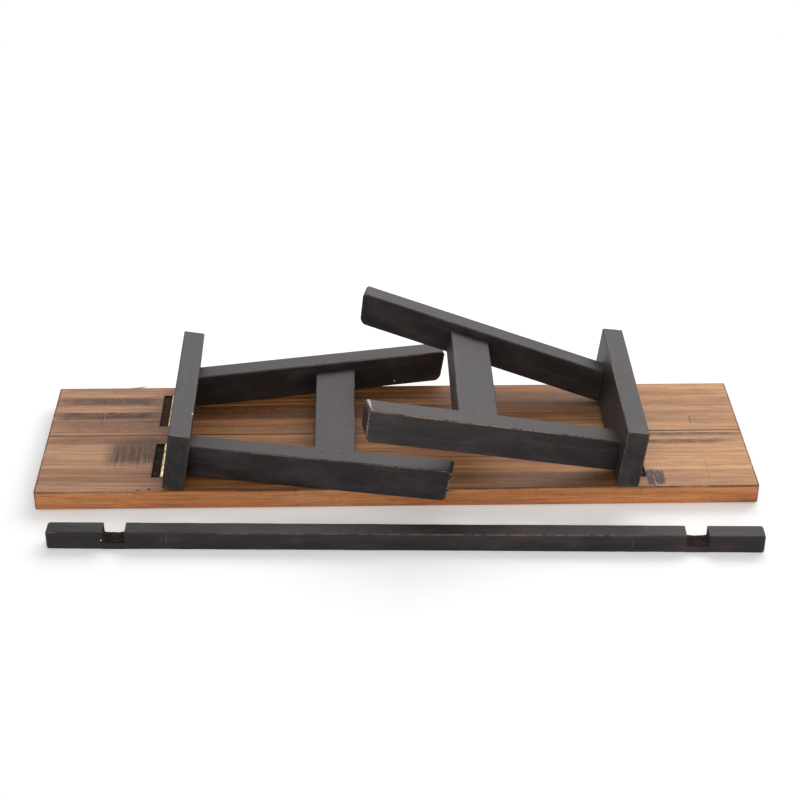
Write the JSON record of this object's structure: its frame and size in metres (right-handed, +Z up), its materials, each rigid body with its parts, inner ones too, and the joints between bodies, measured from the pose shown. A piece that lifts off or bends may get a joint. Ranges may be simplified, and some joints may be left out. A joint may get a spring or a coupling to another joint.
{
  "type": "folding floor bench",
  "caption": "Low folding bench laid upside down: a wide plank seat with hinged splayed leg frames folded over its underside, and a loose notched locking bar.",
  "frame": {"origin": "centre of the seat's sitting face, which lies on the floor", "axes": "+X along the seat, +Y away from the locking bar, +Z up from the floor through the seat to its underside"},
  "size_m": [0.9, 0.3903, 0.1665],
  "materials": {
    "seat_wood": "worn, oiled",
    "black_wood": "satin black stain, rubbed",
    "peg_wood": "stained",
    "dowel_wood": "bare",
    "hinge_brass": "aged",
    "screw_brass": "aged"
  },
  "bodies": {
    "seat": {"front_plank": "seat_wood", "rear_plank": "seat_wood", "seam_dowels": "dowel_wood", "seat_hinge_screws": "screw_brass", "left_far_seat_leaf": "hinge_brass", "left_far_hinge_pin": "hinge_brass", "left_near_seat_leaf": "hinge_brass", "left_near_hinge_pin": "hinge_brass", "right_far_seat_leaf": "hinge_brass", "right_far_hinge_pin": "hinge_brass", "right_near_seat_leaf": "hinge_brass", "right_near_hinge_pin": "hinge_brass"},
    "left_frame": {"left_cleat": "black_wood", "left_far_leg": "black_wood", "left_near_leg": "black_wood", "left_rung": "black_wood", "left_rung_pegs": "peg_wood", "left_far_cleat_leaf": "hinge_brass", "left_near_cleat_leaf": "hinge_brass", "left_cleat_screws": "screw_brass"},
    "right_frame": {"right_cleat": "black_wood", "right_far_leg": "black_wood", "right_near_leg": "black_wood", "right_rung": "black_wood", "right_rung_pegs": "peg_wood", "right_far_cleat_leaf": "hinge_brass", "right_near_cleat_leaf": "hinge_brass", "right_cleat_screws": "screw_brass"},
    "locking_bar": {"locking_bar": "black_wood"}
  },
  "joints": [
    {"name": "left_leg_fold", "type": "hinge", "parent": "seat", "child": "left_frame", "pos_m": [-0.294, 0.005, 0.02635], "axis": [0, -1, 0], "range_deg": [0, 98.95]},
    {"name": "right_leg_fold", "type": "hinge", "parent": "seat", "child": "right_frame", "pos_m": [0.2975, -0.004, 0.02635], "axis": [0, 1, 0], "range_deg": [0, 83.55]},
    {"name": "bar_lift", "type": "slide", "parent": "seat", "child": "locking_bar", "axis": [0, 0, 1], "range_m": [0, 0.2]}
  ],
  "couplings": [
    {"joint": "right_leg_fold", "follows": "left_leg_fold", "ratio": 0.8442}
  ]
}
